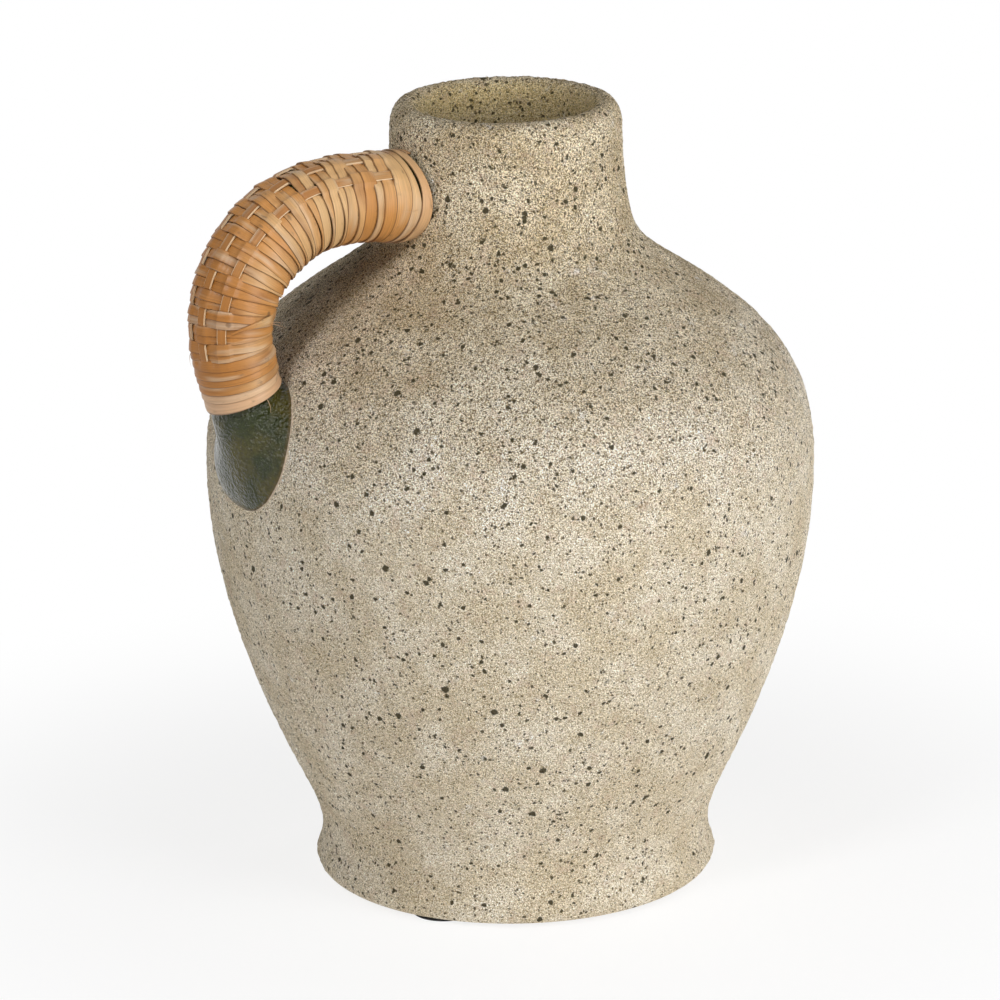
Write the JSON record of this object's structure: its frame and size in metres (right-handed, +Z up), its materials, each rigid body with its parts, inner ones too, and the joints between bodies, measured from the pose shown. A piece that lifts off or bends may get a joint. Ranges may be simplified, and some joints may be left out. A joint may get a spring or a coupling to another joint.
{
  "type": "ceramic vase",
  "caption": "Stoneware vase with a narrow neck and one loop handle, its grip wound with rattan, for holding stems or standing as decor.",
  "frame": {"origin": "on the body's axis, on the plane that the pads stand on; the centre of the underside's flat recess lies 1.7 mm straight above it, inside the frame check's tolerance of 2 mm, and is the named mount for it", "axes": "+Z up along the body's turning axis; the handle lies in the XZ plane on the -X side; +Y completes a right-handed frame"},
  "size_m": [0.2238, 0.2068, 0.271],
  "materials": {
    "speckled_stoneware": "matte, coarse and sandy, with dark specks",
    "dark_green_glaze": "glossy",
    "rattan_strip": "satin",
    "rattan_stake": "satin",
    "black_pad": "matte"
  },
  "bodies": {
    "root": {"vase_body": "speckled_stoneware", "handle_core": "dark_green_glaze", "rattan_stake_1": "rattan_stake", "rattan_stake_2": "rattan_stake", "rattan_stake_3": "rattan_stake", "rattan_stake_4": "rattan_stake", "rattan_binding_upper": "rattan_strip", "rattan_binding_lower": "rattan_strip", "foot_pad_1": "black_pad", "foot_pad_2": "black_pad", "foot_pad_3": "black_pad"}
  },
  "joints": []
}
